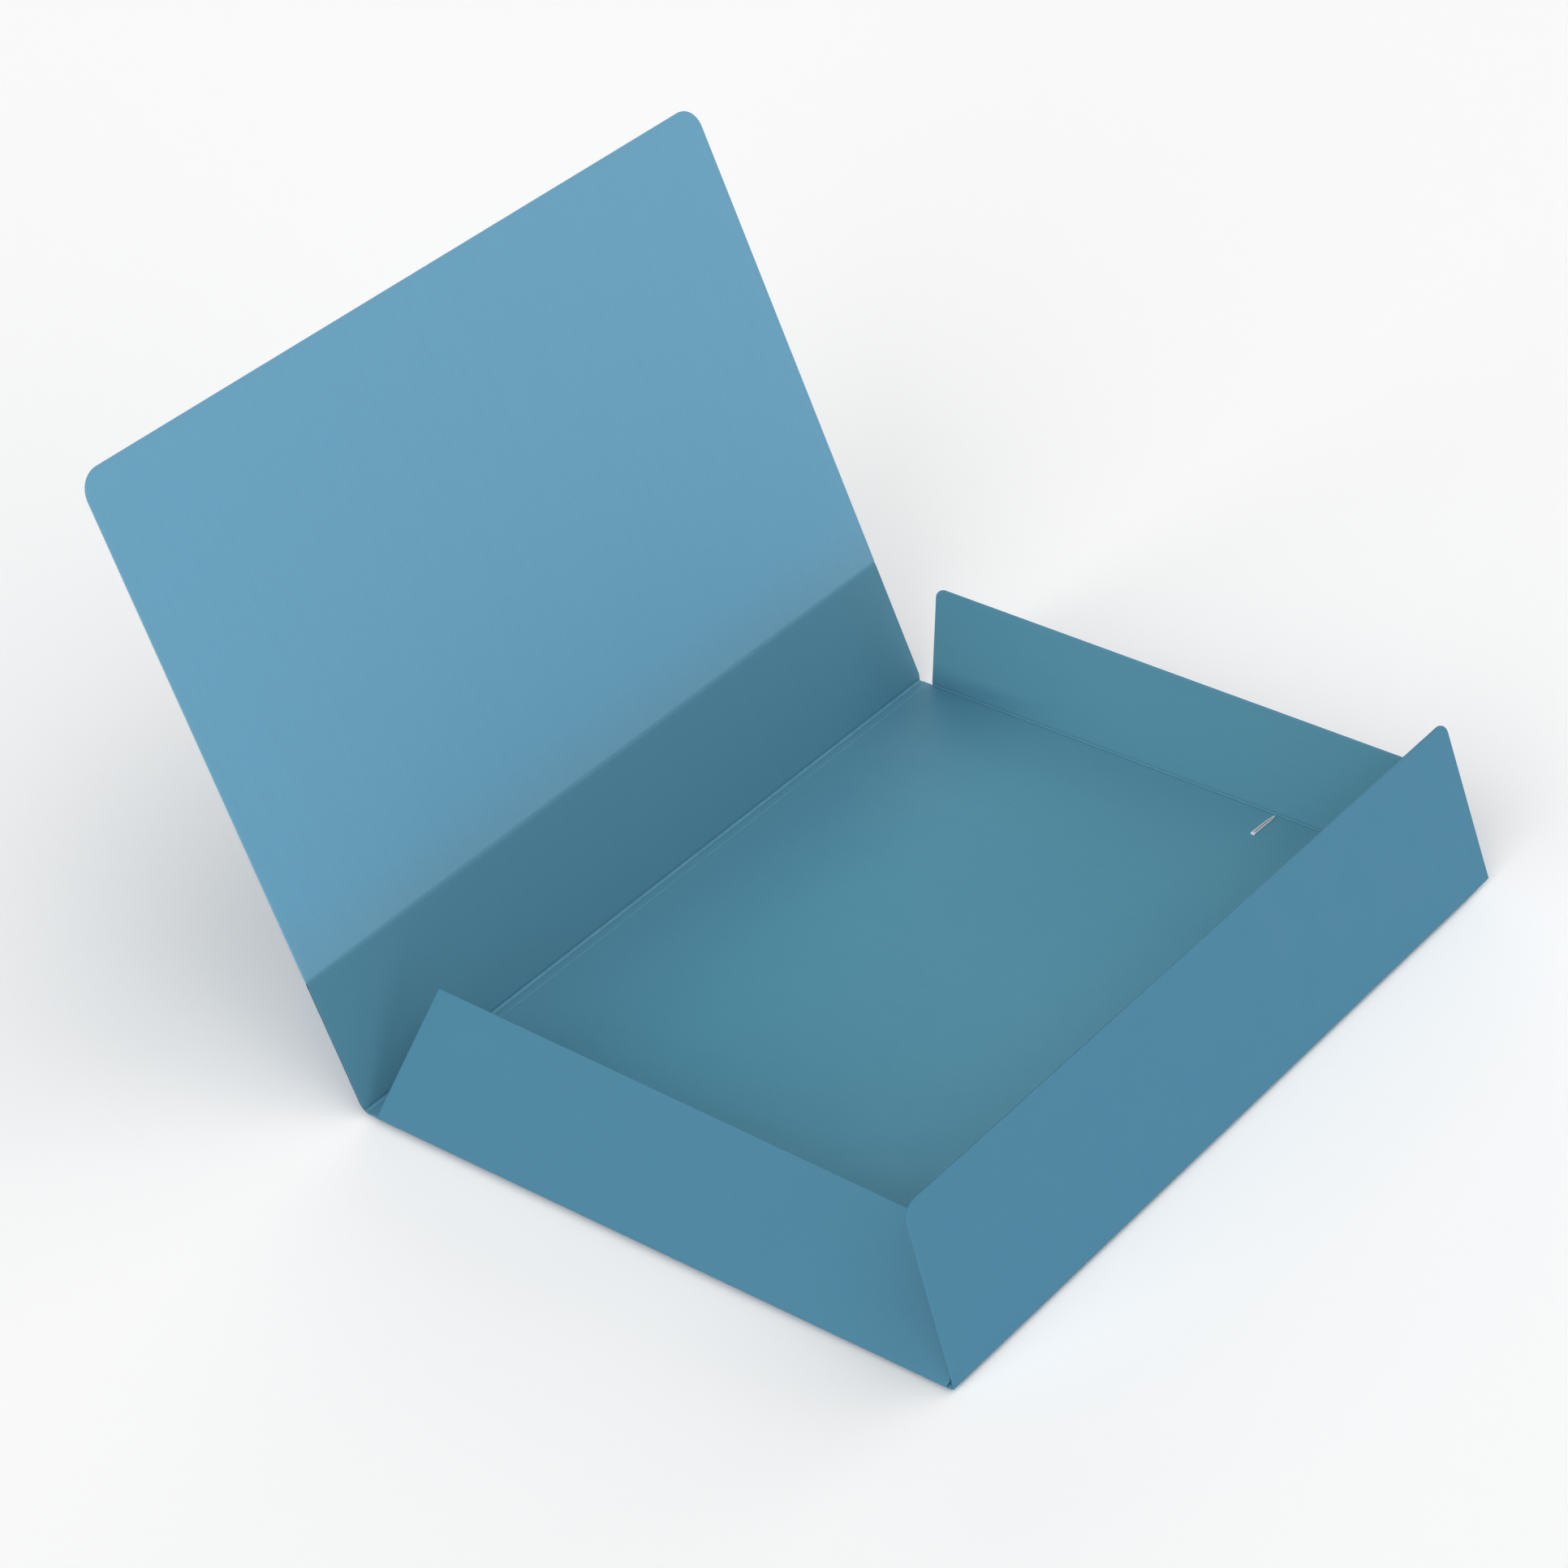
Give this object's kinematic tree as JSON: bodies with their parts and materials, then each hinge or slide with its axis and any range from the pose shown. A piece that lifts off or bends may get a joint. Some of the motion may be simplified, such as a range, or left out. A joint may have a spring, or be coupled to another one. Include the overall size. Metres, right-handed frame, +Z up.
{
  "type": "elastic closure folder",
  "caption": "Flap folder of blue plastic sheet for A4 paper, with a creased spine and cover, and an elastic closure cord held by metal barbs.",
  "frame": {"origin": "centre of the base panel's underside", "axes": "+X from the spine towards the fore flap, +Y along the spine from the near flap to the far flap, +Z up"},
  "size_m": [0.3304, 0.3183, 0.2116],
  "materials": {
    "sheet": "satin polypropylene sheet with a fine grain",
    "crease": "stretched, slightly paler plastic along a fold",
    "elastic": "round elastic cord with a braided cover",
    "barb_metal": "bright folded strip"
  },
  "bodies": {
    "base": {"base_panel": "sheet", "spine_crease": "crease", "near_crease": "crease", "far_crease": "crease", "fore_crease": "crease", "elastic_cord": "elastic", "near_barb": "barb_metal", "far_barb": "barb_metal"},
    "spine": {"spine_panel": "sheet", "cover_crease": "crease"},
    "cover": {"cover_panel": "sheet"},
    "near_side": {"near_flap": "sheet"},
    "far_side": {"far_flap": "sheet"},
    "fore_side": {"fore_flap": "sheet"}
  },
  "joints": [
    {"name": "spine_hinge", "type": "hinge", "parent": "base", "child": "spine", "pos_m": [-0.1172, 0, 0.0008], "axis": [0, 1, 0], "range_deg": [-65.65, 24.35]},
    {"name": "cover_hinge", "type": "hinge", "parent": "spine", "child": "cover", "pos_m": [-0.13716, 0, 0.04489], "axis": [0, 1, 0], "range_deg": [0, 90]},
    {"name": "near_flap_hinge", "type": "hinge", "parent": "base", "child": "near_side", "pos_m": [0, -0.1546, 0.0008], "axis": [1, 0, 0], "range_deg": [-22.6, 129.4]},
    {"name": "far_flap_hinge", "type": "hinge", "parent": "base", "child": "far_side", "pos_m": [0, 0.1546, 0.0008], "axis": [-1, 0, 0], "range_deg": [-58.4, 93.6]},
    {"name": "fore_flap_hinge", "type": "hinge", "parent": "base", "child": "fore_side", "pos_m": [0.1172, 0, 0.0008], "axis": [0, 1, 0], "range_deg": [-3, 104.5]}
  ]
}
